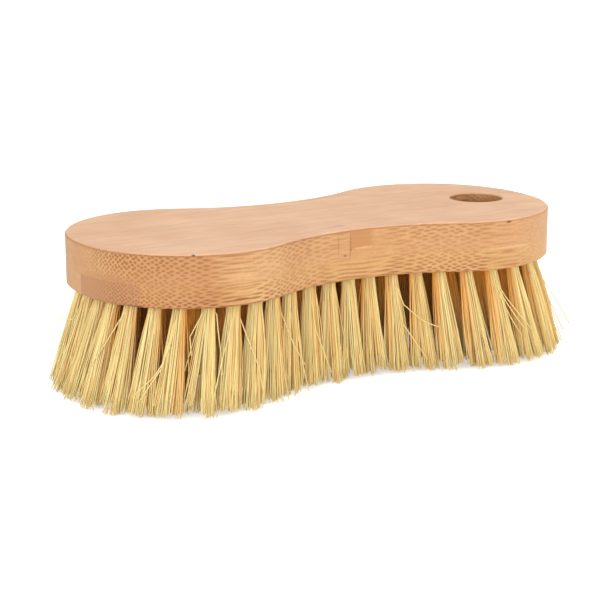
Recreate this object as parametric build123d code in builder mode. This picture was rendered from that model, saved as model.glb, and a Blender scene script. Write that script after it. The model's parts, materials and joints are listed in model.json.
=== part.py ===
from build123d import *
import os
from math import asin, atan2, cos, degrees, hypot, pi

# Scrub brush: a waisted bamboo block, glued from two layers of boards, with tufts of
# plant fibre folded over steel anchors in blind holes that fan out towards the tips.
# Millimetres. The origin lies under the middle of the block, on the plane of the tips.
# +X points to the end with the hanging hole, +Y to the rear and +Z up.

# Block outline, seen from above
block_length = 160.0
block_width = 72.8
waist_width = 50.2
end_radius = 47.3
lobe_radius = 33.5

# Layers, and how far their long glue joints run inside the waist
upper_thickness = 9.0
lower_thickness = 6.4
upper_joint_inset = 1.3
lower_joint_inset = 1.0
front_butt_x = -3.5
edge_chamfer = 0.5

# Hanging hole
hanging_hole_radius = 8.5
hanging_hole_from_end = 18.5

# Tuft holes, with few sides because there are so many, and where their rows run
tuft_hole_radius = 2.25
tuft_hole_sides = 12
tuft_hole_depth = 8.0
hole_web = 0.7
outer_row_inset = 5.5
outer_row_pitch = 8.08
mouth_reach = 72.3
inner_row_inset = 16.5
inner_row_pitch = 10.2
inner_row_start = 2.6
centre_row_pitch = 12.0
centre_row_reach = 52.0
centre_row_gap = 24.0

# Where the tufts of the front stretch stand off their even pitch, in shares of it
front_wander_shares = (
    0.04, -0.02, -0.05, 0.06, 0.00, -0.12, -0.12, -0.20, -0.22, -0.20, -0.20,
    -0.18, -0.22, -0.34, -0.46, -0.50, -0.54, -0.62, -0.58, -0.54, -0.42, -0.22,
)
front_wander_from_share = 0.475

# Tufts: free length below the block, lean of the holes and flare of the strands
bristle_length = 31.2
tip_trim = 2.8
fan_along_share = 0.10
fan_across_share = 0.13
strand_count = 6
strand_flare = 1.7
strand_length_shares = (1.0, 0.93, 1.0, 0.90, 1.0, 0.91)

# Anchors: short lengths of flat steel wire that grip the fold of each tuft
anchor_height = 1.6
anchor_thickness = 0.35
fold_thickness = 1.3
seat_gap = 0.05

# Sizes that follow
seam_height = bristle_length + lower_thickness
hanging_hole_x = block_length / 2 - hanging_hole_from_end
root_radius = tuft_hole_radius - seat_gap
root_length = tuft_hole_depth - seat_gap
strand_length = bristle_length + tip_trim

# The outline is three tangent arcs a quarter: end, lobe and waist
lobe_y = block_width / 2 - lobe_radius
end_turn = asin(lobe_y / (end_radius - lobe_radius))
lobe_x = block_length / 2 - end_radius + (end_radius - lobe_radius) * cos(end_turn)
waist_rise = waist_width / 2 - lobe_y
waist_radius = (lobe_x**2 + waist_rise**2 - lobe_radius**2) / (2 * (lobe_radius - waist_rise))
waist_turn = atan2(lobe_x, waist_radius + waist_rise)
lobe_turn = pi / 2 - end_turn + waist_turn


def outline_arcs(inset):
    """Radius and turn of each arc of the outline moved in by inset, from the +X end round."""
    end = (end_radius - inset, end_turn)
    lobe = (lobe_radius - inset, lobe_turn)
    waist = (waist_radius + inset, -2 * waist_turn)
    far_end = (end_radius - inset, 2 * end_turn)
    return [end, lobe, waist, lobe, far_end, lobe, waist, lobe, end]


def draw_outline(inset):
    """Draw the closed outline, moved in by inset, and give its chain of tangent arcs."""
    start, heading = Vector(block_length / 2 - inset, 0), Vector(0, 1)
    arcs = []
    for radius, angle in outline_arcs(inset):
        arc = JernArc(start=start, tangent=heading, radius=radius, arc_size=degrees(angle))
        start, heading = arc @ 1, arc % 1
        arcs.append(arc)
    return arcs


def place_along(arcs, along):
    """Point at this distance along a chain of arcs."""
    for arc in arcs:
        if along <= arc.length:
            return arc @ (along / arc.length)
        along -= arc.length
    return arcs[-1] @ 1


def hole_is_clear(place):
    """Whether a tuft hole at this place keeps its web to the hanging hole at every depth."""
    reach = hanging_hole_radius + tuft_hole_radius + hole_web
    depth_share = tuft_hole_depth / bristle_length
    deep_x = place.X * (1 - fan_along_share * depth_share)
    deep_y = place.Y * (1 - fan_across_share * depth_share)
    mouth_distance = hypot(place.X - hanging_hole_x, place.Y)
    return min(mouth_distance, hypot(deep_x - hanging_hole_x, deep_y)) > reach


def outer_row():
    """Places of the outer row's tufts, round the block from the hanging end."""
    with BuildLine():
        arcs = draw_outline(outer_row_inset)
    length = sum(arc.length for arc in arcs)
    count = round(length / outer_row_pitch)
    first_front = round(front_wander_from_share * count)
    places = []
    for number in range(count):
        wander = 0
        if 0 <= number - first_front < len(front_wander_shares):
            wander = front_wander_shares[number - first_front]
        places.append(place_along(arcs, (number + 1 / 2 + wander) * length / count))
    return [place for place in places if hole_is_clear(place)]


def inner_row():
    """Places of the inner row's tufts, round the block from the hanging end."""
    with BuildLine():
        arcs = draw_outline(inner_row_inset)
    length = sum(arc.length for arc in arcs)
    count = round(length / inner_row_pitch)
    places = [place_along(arcs, inner_row_start + number * length / count) for number in range(count)]
    return [place for place in places if hole_is_clear(place)]


def centre_row():
    """Places of the tufts on the middle line, in each lobe but not across the waist."""
    steps = range(round(2 * centre_row_reach / centre_row_pitch) + 1)
    places = [Vector(step * centre_row_pitch - centre_row_reach, 0) for step in steps]
    return [place for place in places if abs(place.X) > centre_row_gap and hole_is_clear(place)]


def tuft_plane(place):
    """Plane at the mouth of a tuft's hole, with its normal up the leaning hole.

    At the plain end the mouths stand in a straight line and the tufts lean out the more.
    """
    mouth_x = max(place.X, -mouth_reach)
    tip_x = place.X * (1 + fan_along_share)
    up = Vector(mouth_x - tip_x, -fan_across_share * place.Y, bristle_length)
    side = Vector(up.Z, 0, -up.X)
    return Plane(origin=(mouth_x, place.Y, bristle_length), x_dir=side, z_dir=up)


outer_planes = [tuft_plane(place) for place in outer_row()]
inner_planes = [tuft_plane(place) for place in inner_row()]
centre_planes = [tuft_plane(place) for place in centre_row()]
all_planes = outer_planes + inner_planes + centre_planes

# What is drilled away for a tuft, with the middle of the hole's mouth at the origin
with BuildPart() as drilling:
    with BuildSketch():
        RegularPolygon(tuft_hole_radius, tuft_hole_sides)
    extrude(amount=tuft_hole_depth, both=True)

# Layers of the block, drilled together after gluing
with BuildPart() as lower_layer:
    with BuildSketch(Plane.XY.offset(bristle_length)):
        with BuildLine():
            draw_outline(0)
        make_face()
        with Locations((hanging_hole_x, 0)):
            Circle(hanging_hole_radius, mode=Mode.SUBTRACT)
    extrude(amount=lower_thickness)
    chamfer(lower_layer.edges().group_by(Axis.Z)[0], length=edge_chamfer)
    with Locations(*all_planes):
        add(drilling.part, mode=Mode.SUBTRACT)

with BuildPart() as upper_layer:
    with BuildSketch(Plane.XY.offset(seam_height)):
        with BuildLine():
            draw_outline(0)
        make_face()
        with Locations((hanging_hole_x, 0)):
            Circle(hanging_hole_radius, mode=Mode.SUBTRACT)
    extrude(amount=upper_thickness)
    chamfer(upper_layer.edges().group_by(Axis.Z)[-1], length=edge_chamfer)
    with Locations(*all_planes):
        add(drilling.part, mode=Mode.SUBTRACT)


# Boards: each layer is sawn along its glue joints, which run along X
def joint_plane(y, outward):
    """Plane of a glue joint at this y, with its normal along +Y or -Y."""
    return Plane(origin=(0, y, 0), z_dir=(0, outward, 0))


upper_joint = waist_width / 2 - upper_joint_inset
lower_joint = waist_width / 2 - lower_joint_inset

with BuildPart() as upper_centre_board:
    add(upper_layer.part)
    split(bisect_by=joint_plane(upper_joint, -1))
    split(bisect_by=joint_plane(-upper_joint, 1))

with BuildPart() as lower_centre_board:
    add(lower_layer.part)
    split(bisect_by=joint_plane(lower_joint, -1))
    split(bisect_by=joint_plane(-lower_joint, 1))

with BuildPart() as lower_rear_board:
    add(lower_layer.part)
    split(bisect_by=joint_plane(lower_joint, 1))

with BuildPart() as lower_front_board:
    add(lower_layer.part)
    split(bisect_by=joint_plane(-lower_joint, -1))

with BuildPart() as upper_rear_board:
    add(upper_layer.part)
    split(bisect_by=joint_plane(upper_joint, 1))

# The front one is two boards, butted end to end at the waist
with BuildPart() as upper_front_right_board:
    add(upper_layer.part)
    split(bisect_by=joint_plane(-upper_joint, -1))
    split(bisect_by=Plane.YZ.offset(front_butt_x))

with BuildPart() as upper_front_left_board:
    add(upper_layer.part)
    split(bisect_by=joint_plane(-upper_joint, -1))
    split(bisect_by=Plane.YZ.offset(front_butt_x), keep=Keep.BOTTOM)


# Tuft: a packed six-sided root that splits at the hole's mouth into six strands.
# It is modelled upright, with the middle of its hole's mouth at the origin.
def corner(number):
    """Corner of the root's section."""
    return Vector(root_radius, 0).rotate(Axis.Z, (number - 1 / 2) * 360 / strand_count)


def strand(number):
    """One strand, a three-sided lock of fibres that leans out from the middle of the tuft."""
    outward = (corner(number) + corner(number + 1)).normalized() * strand_flare
    with BuildPart() as lock:
        with BuildSketch():
            Polygon(Vector(0, 0), corner(number), corner(number + 1), align=None)
        extrude(
            amount=strand_length * strand_length_shares[number],
            dir=(outward.X, outward.Y, -bristle_length),
        )
    return lock.part


strands = [strand(number) for number in range(strand_count)]

with BuildPart() as tuft:
    with BuildSketch():
        RegularPolygon(root_radius, strand_count, rotation=180 / strand_count)
    extrude(amount=root_length)
    with Locations((0, 0, root_length - fold_thickness)):
        Box(
            2 * tuft_hole_radius,
            anchor_thickness + 2 * seat_gap,
            anchor_height + 2 * seat_gap,
            align=(Align.CENTER, Align.CENTER, Align.MAX),
            mode=Mode.SUBTRACT,
        )
    add(strands)

with BuildPart() as anchor:
    with Locations((0, 0, root_length - fold_thickness - seat_gap)):
        Box(
            2 * root_radius,
            anchor_thickness,
            anchor_height,
            align=(Align.CENTER, Align.CENTER, Align.MAX),
        )


def half_turned(plane):
    """The same plane, turned half round about its normal."""
    return Plane(origin=plane.origin, x_dir=-plane.x_dir, z_dir=plane.z_dir)


def seat_tufts(planes):
    """Tufts seated in their holes, each second one turned half round, with the tips cut level."""
    with BuildPart() as group:
        with Locations(*planes[0::2]):
            add(tuft.part)
        for plane in planes[1::2]:
            with Locations(half_turned(plane)):
                add(tuft.part)
        split(bisect_by=Plane.XY)
    return group.part


def seat_anchors(planes):
    """Anchors across the tuft holes, all along the block."""
    with BuildPart() as group:
        with Locations(*planes):
            add(anchor.part)
    return group.part


# Nodes
boards = {
    "upper_centre_board": upper_centre_board,
    "upper_front_left_board": upper_front_left_board,
    "upper_front_right_board": upper_front_right_board,
    "upper_rear_board": upper_rear_board,
    "lower_centre_board": lower_centre_board,
    "lower_front_board": lower_front_board,
    "lower_rear_board": lower_rear_board,
}
os.makedirs("parts", exist_ok=True)
for name, board in boards.items():
    board.part.label = name
    export_step(board.part, f"parts/{name}.step")

rows = {"outer_tufts": outer_planes, "inner_tufts": inner_planes, "centre_tufts": centre_planes}
for row_name, planes in rows.items():
    for number, first in enumerate(range(0, len(planes), 2), start=1):
        pair = seat_tufts(planes[first:first + 2])
        pair.label = f"{row_name}_{number:02d}"
        export_step(pair, f"parts/{pair.label}.step")

anchor_rows = {"outer_anchors": outer_planes, "inner_anchors": inner_planes + centre_planes}
for name, planes in anchor_rows.items():
    anchors = seat_anchors(planes)
    anchors.label = name
    export_step(anchors, f"parts/{name}.step")
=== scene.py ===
import json
import math

import bpy
import numpy as np
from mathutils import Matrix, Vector


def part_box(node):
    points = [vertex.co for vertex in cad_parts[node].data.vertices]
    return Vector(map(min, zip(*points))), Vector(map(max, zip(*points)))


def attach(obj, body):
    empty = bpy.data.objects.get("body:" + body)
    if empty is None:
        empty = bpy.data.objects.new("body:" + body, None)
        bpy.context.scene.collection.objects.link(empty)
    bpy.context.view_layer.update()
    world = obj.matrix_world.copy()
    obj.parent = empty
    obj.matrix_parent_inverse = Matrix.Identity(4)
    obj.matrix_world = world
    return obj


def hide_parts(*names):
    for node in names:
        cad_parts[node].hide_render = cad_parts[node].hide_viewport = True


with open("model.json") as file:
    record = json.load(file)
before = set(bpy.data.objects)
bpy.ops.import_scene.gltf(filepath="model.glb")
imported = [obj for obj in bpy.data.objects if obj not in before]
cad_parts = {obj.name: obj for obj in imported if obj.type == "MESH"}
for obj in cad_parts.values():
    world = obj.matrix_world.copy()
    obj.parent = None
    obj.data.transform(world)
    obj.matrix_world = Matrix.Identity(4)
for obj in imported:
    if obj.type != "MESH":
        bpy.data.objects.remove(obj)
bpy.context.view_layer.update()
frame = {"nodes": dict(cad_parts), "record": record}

# Scrub brush: a waisted bamboo block with fanned tufts of plant fibre.
# Metres, in the CAD frame. +X points to the end with the hanging hole and +Z up.
nodes = frame["nodes"]
mm = 0.001

# Places that the frame gives
block_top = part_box("upper_centre_board")[1].z
seam_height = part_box("upper_centre_board")[0].z
block_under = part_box("lower_centre_board")[0].z
block_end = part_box("upper_centre_board")[1].x
mounts = {mount["name"]: mount for mount in frame["record"]["mounts"]}
hole_place = mounts["hanging_hole"]["pos_m"]
hole_radius = mounts["hanging_hole"]["dims"]["r_mm"] * mm

# Camera, matched to the photograph's perspective
camera_azimuth = math.radians(-31.52)
camera_elevation = math.radians(10.60)
camera_distance = 0.5205
camera_turn = math.radians(-31.05)
camera_tilt = math.radians(90 - 13.58)
camera_lens = 99.89

# Stage: each lamp's place, size and power, the light of the world round them and the floor
lamps = {
    "key_lamp": ((-0.85, -0.55, 0.65), 0.6, 2.2),
    "front_lamp": ((-0.5, -0.86, 0.1), 0.5, 3.9),
    "right_lamp": ((0.9, -0.4, 0.3), 0.6, 2.1),
    "top_lamp": ((0.1, -0.2, 1.1), 0.8, 2.2),
}
world_light = 0.72
world_seen = 1.0
floor_size = 6
floor_glow = 0.5

# Bamboo: the pattern's sizes in mm and its scales per mm
bundle_scatter = 0.4
bundle_row_turn = math.radians(42)
bundle_edge = (0.12, 0.56)
waver_scale = 0.05
waver_reach = 2.2
patch_scale = 0.06
speckle_scale = 1.3
grain_size = (28, 0.5)
streak_size = (70, 3.5)
dash_size = (9, 0.7)
side_weights = {"grain": 0.35, "streaks": 0.35, "speckle": 0.3}
top_weights = {"dashes": 0.45, "patches": 0.35, "streaks": 0.2}
top_tones = ("EEC49D", "CF986E")
glue_tone, glue_strength = "9A6236", 0.08
# painted shade on the wall of the hanging hole: its tone and strength
hole_shade_tone, hole_shade_strength = "8F5022", 0.55
edge_line_strength = 0.4

# Where parts of the pattern fade in or out
bark_from_seam = (0.5 * mm, 6.5 * mm)
glue_from_seam = (0.05 * mm, 0.2 * mm)
edge_line_below_top = (0.95 * mm, 0.5 * mm)
sanding_below_top = (0.45 * mm, 0.1 * mm)
wall_below_top = (0.6 * mm, 3 * mm)
wall_behind_rim = (0.1 * mm, 0.4 * mm)

# Marks: their soft edge, in shares of their half sizes, and the scale of its fraying per metre
mark_edge = (0.9, 1.6)
mark_fray_scale = 1800.0

# Fibres
fibres_per_tuft = 150
fibre_sides = 4
fibre_cuts = 5
fibre_root_radius = 0.16 * mm
fibre_tip_radius = 0.14 * mm
fibre_depth_in_hole = 3.0 * mm
fibre_bow = 0.35 * mm
bundle_radius = 2.0 * mm
golden_angle = math.pi * (3 - math.sqrt(5))
angle_scatter = 0.25
least_fan = 0.01 * mm
tip_spread = 4.9 * mm
tip_spread_shares = (0.75, 1.15)
tip_scatter = 0.35 * mm
spread_power = 1.2
locks_per_tuft = 6
lock_area_shares = (0.1, 1)
lock_spread_share = 0.8
lock_pull = 0.35
lock_pull_shares = (0.4, 1.2)
lock_unevenness = 0.8 * mm
tip_unevenness = 0.6 * mm
tip_unevenness_limit = 4 * mm
splayed_share = 0.04
splay_mm = (1.5, 4.0)
stray_radius = 0.18 * mm
first_tuft_seed = 1000

# Fibre tones, from 0 for the deepest straw to 1 for the palest; the deepest tones, at roots inside
# the brush, are painted shade
deep_straw_and_shade, bleached = "F69B1B", "F9F6B6"
least_tone = 0.2
tone_range = 0.75
tone_beta = (5, 2.5)
# how the painted shade at a root fades out along the fibre
root_shade_fade_power = 1.5
stray_tone = 0.7
# painted shade at the roots of outer tufts, strongest on their inner side: its strength, and how
# far towards a tuft's outer side it reaches, in shares of the tuft's radius
root_shade_strength = 0.8
root_shade_from = 0.4

# What the frame's meshes are read by: an anchor is a box with its corners once for each face,
# and a tuft's root stands above the block's underside and near its hole's mouth
points_per_anchor = 24
root_above = 1 * mm
root_within = 2.4 * mm

# Fibres that have strayed out of their tufts: points in mm, seen in the photograph
strays = (
    ((-75.6, -17.0, 26.0), (-77.4, -12.0, 19.1), (-81.5, -9.4, 11.9)),
    ((-65.3, -30.0, 24.7), (-68.4, -30.4, 16.4), (-70.8, -29.6, 12.6), (-76.9, -27.8, 7.0)),
    ((-65.7, -30.3, 22.6), (-69.1, -30.3, 14.6), (-75.4, -28.8, 5.6)),
    ((-57.4, -31.7, 28.0), (-60.5, -31.4, 22.9), (-60.7, -32.5, 17.7)),
    ((-52.7, -32.8, 28.7), (-52.5, -33.2, 24.0), (-52.2, -34.0, 17.8), (-53.1, -36.6, 12.0)),
    ((-48.6, -34.7, 27.5), (-50.4, -35.3, 22.1), (-52.4, -35.8, 17.4), (-57.6, -39.0, 5.4)),
    ((-41.6, -36.9, 12.8), (-41.1, -39.2, 4.5)),
    ((-25.8, -29.9, 15.4), (-22.2, -30.2, 9.0)),
    ((-16.7, -27.2, 18.0), (-11.6, -28.0, 4.6)),
    ((14.3, -24.8, 25.7), (15.7, -25.8, 21.4), (20.2, -27.9, 17.0), (22.8, -28.9, 15.3),
        (26.2, -30.2, 14.0)),
    ((15.0, -26.7, 15.4), (21.6, -30.3, 4.6)),
    ((43.4, -34.0, 28.5), (47.4, -35.2, 21.9), (52.8, -36.0, 15.4), (56.6, -37.7, 10.3)),
    ((43.4, -34.2, 27.3), (47.1, -35.8, 20.5), (51.9, -36.3, 14.0), (54.6, -37.2, 10.5)),
    ((42.9, -33.9, 27.3), (45.8, -36.0, 20.7), (48.5, -36.7, 15.4), (52.4, -36.8, 9.9)),
    ((-79.8, 6.1, 22.2), (-83.4, 7.7, 23.0)),
    ((74.1, -16.7, 25.2), (74.9, -17.3, 22.8), (79.4, -21.0, 14.1), (82.9, -23.8, 6.4)),
    ((76.3, -16.0, 23.5), (78.8, -18.1, 13.9), (82.7, -21.2, 3.5)),
)


# Materials
def linear(hex_code):
    """Linear colour of an sRGB hex code."""
    shares = [int(hex_code[i:i + 2], 16) / 255 for i in (0, 2, 4)]
    return [s / 12.92 if s <= 0.04045 else ((s + 0.055) / 1.055) ** 2.4 for s in shares] + [1]


def add_node(owner, kind, settings=None, links=None):
    """Add a node to a material or the world, with its settings and links.

    Each link is a value or another node's socket.
    """
    node = owner.node_tree.nodes.new("ShaderNode" + kind)
    for name, value in (settings or {}).items():
        setattr(node, name, value)
    for name, value in (links or {}).items():
        if isinstance(value, bpy.types.NodeSocket):
            owner.node_tree.links.new(value, node.inputs[name])
        else:
            node.inputs[name].default_value = value
    return node


def new_material(name):
    """An empty node material."""
    material = bpy.data.materials.new(name)
    material.use_nodes = True
    material.node_tree.nodes.clear()
    return material


def product(material, factors):
    """The product of the factors, from place to place."""
    total = 1.0
    for factor in factors:
        total = add_node(
            material, "Math", {"operation": "MULTIPLY"}, {0: factor, 1: total}
        ).outputs[0]
    return total


def weighed_sum(material, shares, weights):
    """The shares that the weights name, each times its weight, added up."""
    total = 0.0
    for name, weight in weights.items():
        total = add_node(
            material, "Math", {"operation": "MULTIPLY_ADD"},
            {0: shares[name], 1: weight, 2: total},
        ).outputs[0]
    return total


def stained(material, colour, stains):
    """The colour with stains over it, one after the other: each its share and its colour."""
    for share, stain in stains:
        colour = add_node(
            material, "Mix", {"data_type": "RGBA"}, {0: share, 6: colour, 7: stain}
        ).outputs[2]
    return colour


def drawn_out(material, place, size, detail, roughness):
    """Noise drawn out along the board, to a length and a width in mm."""
    length, width = size
    drawn = add_node(
        material, "Mapping",
        links={"Vector": place, "Scale": (1 / length, 1 / width, 1 / width)},
    ).outputs[0]
    return add_node(
        material, "TexNoise",
        links={"Vector": drawn, "Scale": 1.0, "Detail": detail, "Roughness": roughness},
    ).outputs["Fac"]


def share_by_place(material, position, ways):
    """A share that changes along the named axes, by stops: each a place in mm and its share."""
    places = add_node(material, "SeparateXYZ", links={"Vector": position}).outputs
    ramps = []
    for axis, stops in ways:
        reach = add_node(
            material, "MapRange",
            links={"Value": places[axis], "From Min": -block_end, "From Max": block_end},
        ).outputs[0]
        ramp = add_node(material, "ValToRGB", links={"Fac": reach})
        elements = ramp.color_ramp.elements
        elements.remove(elements[-1])
        for number, (place_mm, stop_share) in enumerate(stops):
            where = (place_mm * mm / block_end + 1) / 2
            stop = elements[0] if number == 0 else elements.new(where)
            stop.position = where
            stop.color = (stop_share, stop_share, stop_share, 1)
        ramps.append(ramp.outputs["Color"])
    return product(material, ramps)


def mark_stain(material, position, mark):
    """The stain of a soft-edged mark: its share from place to place, and its colour.

    A mark is its centre and half sizes in mm, its tone and its strength.
    """
    centre, reach, tone, strength = mark
    place = add_node(
        material, "Mapping", {"vector_type": "TEXTURE"},
        {
            "Vector": position,
            "Location": [value * mm for value in centre],
            "Scale": [value * mm for value in reach],
        },
    ).outputs[0]
    from_centre = add_node(
        material, "VectorMath", {"operation": "LENGTH"}, {0: place}
    ).outputs["Value"]
    fray = add_node(
        material, "TexNoise",
        links={"Vector": position, "Scale": mark_fray_scale, "Detail": 1.0},
    ).outputs["Fac"]
    from_centre = add_node(
        material, "Math", {"operation": "ADD"}, {0: from_centre, 1: fray}
    ).outputs[0]
    share = add_node(
        material, "MapRange", {"interpolation_type": "SMOOTHSTEP"},
        {
            "Value": from_centre, "From Min": mark_edge[0], "From Max": mark_edge[1],
            "To Min": strength, "To Max": 0.0,
        },
    ).outputs[0]
    return share, linear(tone)


def painted_hole_shade_share(material, position, height):
    """How much a point is on the wall of the hanging hole, below its sanded edge."""
    # painted shade: it grows from below the sanded edge down into the hole
    level = add_node(
        material, "VectorMath", {"operation": "MULTIPLY"}, {0: position, 1: (1, 1, 0)}
    ).outputs[0]
    from_axis = add_node(
        material, "VectorMath", {"operation": "DISTANCE"},
        {0: level, 1: (hole_place[0], hole_place[1], 0)},
    ).outputs["Value"]
    near = add_node(
        material, "MapRange",
        links={
            "Value": from_axis, "From Min": hole_radius + wall_behind_rim[0],
            "From Max": hole_radius + wall_behind_rim[1], "To Min": 1.0, "To Max": 0.0,
        },
    ).outputs[0]
    deep = add_node(
        material, "MapRange",
        links={
            "Value": height, "From Min": block_top - wall_below_top[0],
            "From Max": block_top - wall_below_top[1],
        },
    ).outputs[0]
    return product(material, (near, deep, hole_shade_strength))


def bamboo(name, tones, offset, pitch_mm, crowding, shade, marks):
    """Planed and sanded bamboo: strips with their fibre bundles along X.

    The bundles show as brown dots on end grain and as fine lines along the grain.
    Crowding lists how strongly they show from place to place, and shade how far the strip's
    light and dark tones turn to its third one. The fourth tone is the bundles'.
    """
    light, dark, shaded, dot = [linear(tone) for tone in tones]
    material = new_material(name)
    position = add_node(material, "TexCoord").outputs["Object"]
    in_mm = add_node(
        material, "Mapping",
        links={"Vector": position, "Scale": (1000, 1000, 1000), "Location": offset},
    ).outputs[0]
    height = add_node(material, "SeparateXYZ", links={"Vector": position}).outputs["Z"]

    # slow waver of the bundles along the strip
    waver = add_node(
        material, "TexNoise", links={"Vector": in_mm, "Scale": waver_scale, "Detail": 1.0}
    ).outputs["Color"]
    waved = add_node(
        material, "VectorMath", {"operation": "MULTIPLY_ADD"},
        {0: waver, 1: (0.0, waver_reach, waver_reach), 2: in_mm},
    ).outputs[0]

    # bundles about 1 mm apart in staggered rows across the grain, running on along the strip
    section = add_node(material, "SeparateXYZ", links={"Vector": waved}).outputs
    section = add_node(
        material, "CombineXYZ", links={"X": section["Y"], "Y": section["Z"]}
    ).outputs[0]
    cells = add_node(
        material, "Mapping", links={"Vector": section, "Rotation": (0, 0, bundle_row_turn)}
    ).outputs[0]
    bundles = add_node(
        material, "TexVoronoi", {"feature": "F1", "voronoi_dimensions": "2D"},
        {"Vector": cells, "Scale": 1 / pitch_mm, "Randomness": bundle_scatter},
    ).outputs["Distance"]
    bundle_mask = add_node(
        material, "MapRange", {"interpolation_type": "SMOOTHSTEP"},
        {
            "Value": bundles, "From Min": bundle_edge[0], "From Max": bundle_edge[1],
            "To Min": 1.0, "To Max": 0.0,
        },
    ).outputs[0]

    # the bundles are darker on the strip's bark side, away from the glue seam, and in patches
    from_seam = add_node(
        material, "Math", {"operation": "SUBTRACT"}, {0: height, 1: seam_height}
    ).outputs[0]
    seam_distance = add_node(
        material, "Math", {"operation": "ABSOLUTE"}, {0: from_seam}
    ).outputs[0]
    bark_side = add_node(
        material, "MapRange",
        links={
            "Value": seam_distance, "From Min": bark_from_seam[0],
            "From Max": bark_from_seam[1], "To Min": 0.5, "To Max": 1.0,
        },
    ).outputs[0]
    patches = add_node(
        material, "TexNoise", links={"Vector": in_mm, "Scale": patch_scale, "Detail": 2.0}
    ).outputs["Fac"]
    patch_strength = add_node(
        material, "MapRange",
        links={
            "Value": patches, "From Min": 0.35, "From Max": 0.65, "To Min": 0.7, "To Max": 1.0,
        },
    ).outputs[0]
    crowd_share = share_by_place(material, position, crowding)
    dots = product(material, (bundle_mask, bark_side, patch_strength, crowd_share))

    # fine lines along the grain, half a millimetre apart, broad streaks, the bundles' dashes on
    # the top, and cut fibre ends, a third of a millimetre apart, drawn as coarse as they show
    grain = drawn_out(material, waved, grain_size, 4.0, 0.6)
    speckle = add_node(
        material, "TexNoise", links={"Vector": in_mm, "Scale": speckle_scale, "Detail": 2.0}
    ).outputs["Fac"]
    noises = {
        "grain": (grain, 0.3, 0.7),
        "streaks": (drawn_out(material, in_mm, streak_size, 2.0, 0.5), 0.3, 0.7),
        "dashes": (drawn_out(material, in_mm, dash_size, 3.0, 0.6), 0.3, 0.7),
        "patches": (patches, 0.3, 0.7),
        "speckle": (speckle, 0.35, 0.65),
    }
    shares = {
        noise_name: add_node(
            material, "MapRange", links={"Value": noise, "From Min": least, "From Max": most}
        ).outputs[0]
        for noise_name, (noise, least, most) in noises.items()
    }

    # a brown line where the side meets the sanded edge
    edge_line = add_node(
        material, "MapRange", {"interpolation_type": "SMOOTHSTEP"},
        {
            "Value": height, "From Min": block_top - edge_line_below_top[0],
            "From Max": block_top - edge_line_below_top[1], "To Max": edge_line_strength,
        },
    ).outputs[0]
    side = stained(material, light, (
        (weighed_sum(material, shares, side_weights), dark),
        (share_by_place(material, position, shade), shaded),
        (dots, dot),
        (edge_line, dot),
    ))

    # the sanded top is paler and pinker, with the bundles only as faint lines
    top_light, top_dark = [linear(tone) for tone in top_tones]
    top_body = weighed_sum(material, shares, top_weights)
    top = stained(material, top_light, ((top_body, top_dark),))
    top_share = add_node(
        material, "MapRange", {"interpolation_type": "SMOOTHSTEP"},
        {
            "Value": height, "From Min": block_top - sanding_below_top[0],
            "From Max": block_top - sanding_below_top[1],
        },
    ).outputs[0]

    # a hairline of glue between the layers, and painted shade down the hanging hole's wall
    glue_line = add_node(
        material, "MapRange", {"interpolation_type": "SMOOTHSTEP"},
        {
            "Value": seam_distance, "From Min": glue_from_seam[0],
            "From Max": glue_from_seam[1], "To Min": glue_strength, "To Max": 0.0,
        },
    ).outputs[0]
    colour = stained(material, side, [
        (top_share, top),
        (glue_line, linear(glue_tone)),
        (painted_hole_shade_share(material, position, height), linear(hole_shade_tone)),
        *(mark_stain(material, position, mark) for mark in marks),
    ])

    bump = add_node(
        material, "Bump", links={"Height": grain, "Strength": 0.12, "Distance": 0.15 * mm}
    ).outputs[0]
    shader = add_node(
        material, "BsdfPrincipled",
        links={"Base Color": colour, "Roughness": 0.55, "IOR": 1.5, "Normal": bump},
    ).outputs[0]
    add_node(material, "OutputMaterial", links={"Surface": shader})
    return material


def plant_fibre():
    """Stiff bleached plant fibre: pale straw stalks, each of its own tone, a little waxy.

    The sheen is the light that passes round and through the thin stalks. The deeper tones at roots
    inside the brush are painted shade.
    """
    material = new_material("bleached_plant_fibre")
    tone = add_node(material, "Attribute", {"attribute_name": "tone"}).outputs["Fac"]
    # deep tones at the roots inside the brush are painted shade; the rest is each stalk's own tone
    straw = stained(material, linear(deep_straw_and_shade), ((tone, linear(bleached)),))
    shader = add_node(
        material, "BsdfPrincipled",
        links={
            "Base Color": straw, "Roughness": 0.4, "IOR": 1.5, "Specular IOR Level": 0.2,
            "Sheen Weight": 0.6, "Sheen Roughness": 0.5, "Sheen Tint": linear("FFCB6E"),
        },
    ).outputs[0]
    add_node(material, "OutputMaterial", links={"Surface": shader})
    return material


def anchor_steel():
    """Flat-rolled steel wire, bright, with the roller's lines along it."""
    material = new_material("rolled_steel_wire")
    position = add_node(material, "TexCoord").outputs["Object"]
    # lines 5 mm long and a ninth of a millimetre apart
    lines_place = add_node(
        material, "Mapping", links={"Vector": position, "Scale": (200, 9000, 9000)}
    ).outputs[0]
    lines = add_node(
        material, "TexNoise", links={"Vector": lines_place, "Scale": 1.0}
    ).outputs["Fac"]
    roughness = add_node(
        material, "MapRange", links={"Value": lines, "To Min": 0.25, "To Max": 0.45}
    ).outputs[0]
    shader = add_node(
        material, "BsdfPrincipled",
        links={"Base Color": linear("B9BABC"), "Metallic": 1.0, "Roughness": roughness},
    ).outputs[0]
    add_node(material, "OutputMaterial", links={"Surface": shader})
    return material


def finish_with(piece, material):
    """Give the whole piece one material."""
    piece.data.materials.clear()
    piece.data.materials.append(material)


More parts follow.
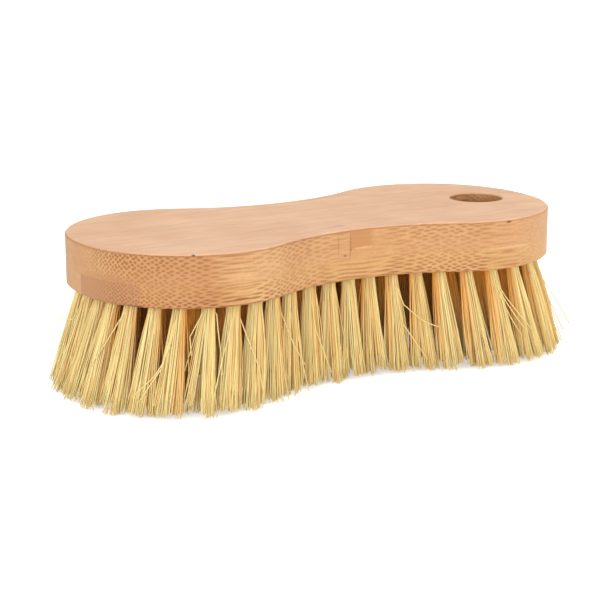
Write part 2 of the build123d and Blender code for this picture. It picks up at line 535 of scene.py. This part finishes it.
# How strongly the bundles show from place to place
even = (("X", ((-79, 0.8), (79, 0.8))),)
ends_faint = (
    ("X", ((-79.6, 0.2), (-78.8, 0.6), (-76.5, 0.9), (60, 0.8), (70, 0.3), (79, 0.2))),
)
front_left = (
    ("X", ((-66, 0.9), (-58, 0.92), (-53, 0.8), (-47, 0.6), (-38, 0.5), (-30, 0.55), (-8, 0.45))),
)
front_right = (
    ("X", ((-3, 0.1), (5, 0.15), (9, 0.5), (30, 0.75), (42, 0.6), (50, 0.3), (60, 0.15))),
)
lower_front = (
    ("X", (
        (-70, 1.0), (-50, 1.0), (-40, 0.95), (0, 0.75), (10, 0.8), (38, 0.9), (48, 0.45),
        (60, 0.2),
    )),
)

# How far the strips turn to their third tone from place to place
plain = (("X", ((-79, 0.15), (79, 0.15))),)
centre_shade = (("X", ((-79.9, 0.35), (-79, 0.2), (-73, 0.5), (-66, 0.62), (-50, 0.15))),)
left_shade = (
    ("X", ((-73, 0.5), (-66, 0.62), (-56, 0.62), (-52, 0.2), (-46, 0.0), (-34, 0.0), (-28, 0.25))),
)
butt_shade = (
    ("X", ((-3.6, 0.6), (3.2, 0.55), (5.5, 0.0))),
    ("Z", ((40.6, 0.2), (41.0, 1.0))),
)
lower_left_shade = (
    ("X", (
        (-70, 0.55), (-54, 0.75), (-47, 0.15), (-42, 0.0), (-34, 0.0), (-28, 0.25), (10, 0.15),
    )),
)
lower_end_shade = (
    ("X", ((-60, 0.8), (-50, 0.0), (60, 0.0), (70, 0.3))),
    ("Y", ((-1.9, 1.0), (-1.3, 0.1))),
)

# Marks on the boards: centre and half sizes in mm, tone and strength
joint_line = ((-3.5, -24.5, 42.1), (0.35, 6, 5), "A0643A", 0.6)
edge_smudge = ((-72.5, -22.5, 31.4), (2.4, 3.5, 0.55), "5E4038", 0.7)
left_marks = (
    ((-60.0, -33.4, 46.5), (0.6, 0.9, 0.5), "2E2C3C", 0.95),
    ((-7.8, -25, 42.5), (0.3, 5, 4.0), "A0643A", 0.45),
    ((-5.4, -25.2, 38.9), (0.6, 1.0, 0.4), "8A5424", 0.7),
    joint_line,
)
right_marks = (
    ((47.0, -36.4, 45.8), (1.3, 1.2, 0.4), "5A3318", 0.9),
    ((1.2, -25.2, 40.75), (3.6, 1.5, 0.35), "EDC08E", 0.45),
    ((-3.3, -25.0, 40.5), (0.5, 1.0, 0.35), "8A5424", 0.8),
    ((49.0, -36.0, 37.8), (12.0, 4.0, 0.5), "F0C795", 0.4),
    joint_line,
)
lower_marks = (
    ((-46.6, -36.4, 33.15), (2.6, 1.6, 0.5), "8F4A2C", 0.75),
    ((47.0, -36.4, 36.7), (3.4, 2.0, 0.6), "A0603A", 0.5),
    ((48.8, -36.4, 32.3), (4.0, 2.0, 0.6), "B0622F", 0.55),
    edge_smudge,
)
centre_marks = (
    ((-76.0, -14.0, 37.6), (9.0, 13.0, 2.6), "B57E52", 0.6),
    ((-8.0, -19.4, 46.6), (4.2, 0.8, 1.5), "BB9C8C", 0.7),
    ((-3.4, -18.6, 46.6), (2.6, 0.9, 1.5), "A79C98", 0.8),
)

# Each board's light, dark, shaded and bundle tones, its offset in the pattern and its
# bundles' pitch, with what changes along it and its marks
golden = ("DDAE79", "CB955F", "B87A42", "8B4F1E")
ruddy = ("D8A572", "C78F59", "B87A42", "9B5D2A")
lower = ("DEAF75", "CD985C", "B87A42", "8C5020")
rosy_end = ("D8A872", "C8915C", "B57E52", "804722")
boards = {
    "upper_centre_board": (golden, (0, 0, 0), 1.02, ends_faint, centre_shade, centre_marks),
    "upper_front_left_board": (golden, (0, 0, 0), 1.02, front_left, left_shade, left_marks),
    "upper_front_right_board": (ruddy, (77, 11, 6), 1.02, front_right, butt_shade, right_marks),
    "upper_rear_board": (golden, (13, 17, 9), 1.02, even, plain, ()),
    "lower_centre_board":
        (rosy_end, (51, 23, 2), 0.85, ends_faint, lower_end_shade, (edge_smudge,)),
    "lower_front_board": (lower, (5, 31, 8), 0.88, lower_front, lower_left_shade, lower_marks),
    "lower_rear_board": (lower, (90, 3, 12), 0.88, even, plain, ()),
}
for board, finish in boards.items():
    finish_with(nodes[board], bamboo("bamboo_" + board, *finish))
steel = anchor_steel()
for row in ("outer_anchors", "inner_anchors"):
    finish_with(nodes[row], steel)


# Tufts: their places and lean come from the anchors in the frame
def mesh_points(node):
    """The points of a node's mesh."""
    return np.array([vertex.co for vertex in nodes[node].data.vertices])


def anchor_places(node):
    """Mouth of the hole over each anchor of a row, and how far the tuft leans out below it."""
    places = []
    for corners in mesh_points(node).reshape(-1, points_per_anchor, 3):
        centre = corners.mean(axis=0)
        _, _, axes = np.linalg.svd(np.unique(corners, axis=0) - centre)
        up = axes[1] * np.sign(axes[1][2])
        mouth = centre - up * (centre[2] - block_under) / up[2]
        places.append((mouth, -up[:2] / up[2] * block_under))
    return places


def base_fibre():
    """One upright fibre of unit length and radius, with its rings, modelled once."""
    bpy.ops.object.select_all(action="DESELECT")
    bpy.ops.mesh.primitive_cylinder_add(
        vertices=fibre_sides, radius=1, depth=1, location=(0, 0, 0.5)
    )
    fibre = bpy.context.object
    bpy.context.tool_settings.mesh_select_mode = (False, True, False)
    for face in fibre.data.polygons:
        face.select = False
    for edge in fibre.data.edges:
        low, high = (fibre.data.vertices[i].co.z for i in edge.vertices)
        edge.select = abs(low - high) > 0.5
    bpy.ops.object.mode_set(mode="EDIT")
    bpy.ops.mesh.subdivide(number_cuts=fibre_cuts)
    bpy.ops.object.mode_set(mode="OBJECT")
    points = np.array([vertex.co for vertex in fibre.data.vertices])
    points[:, 2] += 0.5
    faces = [tuple(face.vertices) for face in fibre.data.polygons]
    bpy.data.objects.remove(fibre)
    return points, faces


fibre_points, fibre_faces = base_fibre()


def bend_fibre(line, radii):
    """The base fibre laid along a line of points, one for each ring, which stands square to it."""
    ring = np.rint(fibre_points[:, 2] * (len(line) - 1)).astype(int)
    up = -np.gradient(line, axis=0)
    up = (up / np.linalg.norm(up, axis=1)[:, None])[ring]
    across = fibre_points * (1, 1, 0)
    turn = (across * up).sum(axis=1) / (1 + up[:, 2])
    across = across - turn[:, None] * (up + (0, 0, 1))
    return line[ring] + across * np.linspace(*radii, len(line))[ring][:, None]


def tuft_fibres(mouth, fan, inside, seed):
    """Points of all the fibres of one tuft, and the tones of their roots and tips.

    Roots in inner tufts, and on each outer tuft's inner side, get a deeper tone as painted shade.
    """
    chance = np.random.default_rng(seed)
    lock_angles = chance.uniform(0, 2 * math.pi, locks_per_tuft)
    lock_areas = chance.uniform(*lock_area_shares, locks_per_tuft)
    lock_reach = np.sqrt(lock_areas) * tip_spread * lock_spread_share
    locks = np.stack([np.cos(lock_angles), np.sin(lock_angles)], axis=1) * lock_reach[:, None]
    lock_heights = chance.exponential(lock_unevenness, locks_per_tuft)
    outward = fan / (np.hypot(*fan) + least_fan)
    beside = np.array([-outward[1], outward[0]])
    start_share = -fibre_depth_in_hole / block_under
    all_points, tones = [], []
    for number in range(fibres_per_tuft):
        reach = math.sqrt((number + 0.5) / fibres_per_tuft)
        angle = number * golden_angle + chance.normal(0, angle_scatter)
        way = np.array([math.cos(angle), math.sin(angle)])
        root = way * reach * (bundle_radius - fibre_root_radius)
        tip = way * reach * tip_spread * chance.uniform(*tip_spread_shares)
        tip += chance.normal(0, tip_scatter, 2)
        lock = np.argmin(np.hypot(*(locks - tip).T))
        tip += (locks[lock] - tip) * lock_pull * chance.uniform(*lock_pull_shares)
        if chance.random() < splayed_share:
            tip += beside * chance.choice((-1, 1)) * chance.uniform(*splay_mm) * mm
        tip_height = min(chance.exponential(tip_unevenness), tip_unevenness_limit)
        tip_height += lock_heights[lock] + fibre_tip_radius
        bow = chance.normal(0, fibre_bow, 2)
        line = []
        for share in np.linspace(0, 1, fibre_cuts + 2):
            down = start_share + (1 - start_share) * share
            open_share = max(down, 0.0)
            spread = open_share ** spread_power
            place = mouth[:2] + fan * down + root + (tip - root) * spread
            place = place + bow * math.sin(math.pi * open_share)
            height = block_under + (tip_height - block_under) * down
            line.append((place[0], place[1], height))
        all_points.append(bend_fibre(np.array(line), (fibre_root_radius, fibre_tip_radius)))
        tone = least_tone + tone_range * chance.beta(*tone_beta)
        # painted shade: roots in inner tufts, and on an outer tuft's inner side, get a deeper tone
        # than their tips
        inward = min(max(root_shade_from - (way * reach) @ outward, 0), 1)
        root_shade_share = 1.0 if inside else root_shade_strength * inward
        tones.append((tone * (1 - root_shade_share), tone))
    return all_points, tones


def stray_fibre(mouth, points):
    """A fibre that leaves its tuft's hole and runs on through the given points."""
    line = [mouth + Vector((0, 0, fibre_depth_in_hole)), mouth]
    line += [Vector(point) * mm for point in points]
    while len(line) < fibre_cuts + 2:
        lengths = [(after - before).length for before, after in zip(line, line[1:])]
        longest = int(np.argmax(lengths))
        line.insert(longest + 1, (line[longest] + line[longest + 1]) / 2)
    return bend_fibre(np.array(line), (stray_radius, stray_radius))


def fibre_piece(name, fibres, tones, material):
    """One mesh of many fibres, with the tones of their roots and tips."""
    points = np.concatenate(fibres)
    step = len(fibre_points)
    faces = []
    for number in range(len(fibres)):
        faces += [tuple(i + number * step for i in face) for face in fibre_faces]
    mesh = bpy.data.meshes.new(name)
    mesh.from_pydata(points.tolist(), [], faces)
    # a root tone deeper than its tip's is painted shade
    root_tones_with_shade, tip_tones = np.repeat(np.array(tones), step, axis=0).T
    along = np.tile(fibre_points[:, 2], len(fibres)) ** root_shade_fade_power
    tone = mesh.attributes.new("tone", "FLOAT", "POINT")
    tone.data.foreach_set(
        "value", (root_tones_with_shade + (tip_tones - root_tones_with_shade) * along).astype(np.float32)
    )
    mesh.polygons.foreach_set("use_smooth", [True] * len(mesh.polygons))
    mesh.materials.append(material)
    piece = bpy.data.objects.new(name, mesh)
    bpy.context.scene.collection.objects.link(piece)
    return piece


outer_tufts = anchor_places("outer_anchors")
tufts = outer_tufts + anchor_places("inner_anchors")
mouths = np.array([mouth for mouth, _ in tufts])
stray_tufts = [
    int(np.argmin(np.hypot(*(mouths[:, :2] - np.array(points[0][:2]) * mm).T)))
    for points in strays
]
fibre_material = plant_fibre()
for node in sorted(name for name in nodes if "_tufts_" in name):
    points = mesh_points(node)
    roots = points[points[:, 2] > block_under + root_above][:, :2]
    fibres, tones = [], []
    for number, (mouth, fan) in enumerate(tufts):
        if np.hypot(*(roots - mouth[:2]).T).min() < root_within:
            inside = number >= len(outer_tufts)
            more, more_tones = tuft_fibres(mouth, fan, inside, first_tuft_seed + number)
            fibres += more
            tones += more_tones
            for stray, owner in zip(strays, stray_tufts):
                if owner == number:
                    fibres.append(stray_fibre(Vector(mouth), stray))
                    tones.append((stray_tone, stray_tone))
    piece = fibre_piece(node.replace("tufts", "fibres"), fibres, tones, fibre_material)
    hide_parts(node)
    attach(piece, "root")


# Stage: a plain pale floor, soft lamps and the camera
def seen_straight(owner):
    """One for rays from the camera, off gloss and through clear things, and zero for the rest."""
    rays = add_node(owner, "LightPath").outputs
    straight = 0.0
    for kind in ("Is Camera Ray", "Is Glossy Ray", "Is Transmission Ray"):
        straight = add_node(
            owner, "Math", {"operation": "MAXIMUM"}, {0: rays[kind], 1: straight}
        ).outputs[0]
    return straight


def floor_material():
    """Matt white paper: seen by the camera as near white, with the object's soft shadow."""
    material = new_material("matt_paper")
    shader = add_node(
        material, "BsdfPrincipled",
        links={
            "Base Color": linear("F4F4F2"), "Roughness": 0.9,
            "Emission Color": linear("FFFFFF"),
            "Emission Strength": product(material, (seen_straight(material), floor_glow)),
        },
    ).outputs[0]
    add_node(material, "OutputMaterial", links={"Surface": shader})
    return material


bpy.ops.object.select_all(action="DESELECT")
bpy.ops.mesh.primitive_plane_add(size=floor_size, location=(0, 0, 0))
floor = bpy.context.object
floor.name = "floor"
finish_with(floor, floor_material())

world = bpy.data.worlds.new("studio")
bpy.context.scene.world = world
world.use_nodes = True
world.node_tree.nodes.clear()
strength = add_node(
    world, "MapRange",
    links={"Value": seen_straight(world), "To Min": world_light, "To Max": world_seen},
).outputs[0]
background = add_node(
    world, "Background", links={"Color": linear("FFFFFF"), "Strength": strength}
).outputs[0]
add_node(world, "OutputWorld", links={"Surface": background})

# Large square lamps that face the middle of the brush
for name, (place, size, power) in lamps.items():
    light = bpy.data.lights.new(name, "AREA")
    light.size = size
    light.energy = power
    lamp = bpy.data.objects.new(name, light)
    lamp.location = place
    aim = Vector((0, 0, block_under)) - Vector(place)
    lamp.rotation_euler = aim.to_track_quat("-Z", "Y").to_euler()
    bpy.context.scene.collection.objects.link(lamp)

camera_data = bpy.data.cameras.new("camera")
camera_data.lens = camera_lens
camera = bpy.data.objects.new("camera", camera_data)
camera.location = Vector((0, 0, block_top)) + camera_distance * Vector((
    math.sin(camera_azimuth) * math.cos(camera_elevation),
    -math.cos(camera_azimuth) * math.cos(camera_elevation),
    math.sin(camera_elevation),
))
camera.rotation_euler = (camera_tilt, 0, camera_turn)
bpy.context.scene.collection.objects.link(camera)
bpy.context.scene.camera = camera
bpy.context.scene.view_settings.view_transform = "Standard"
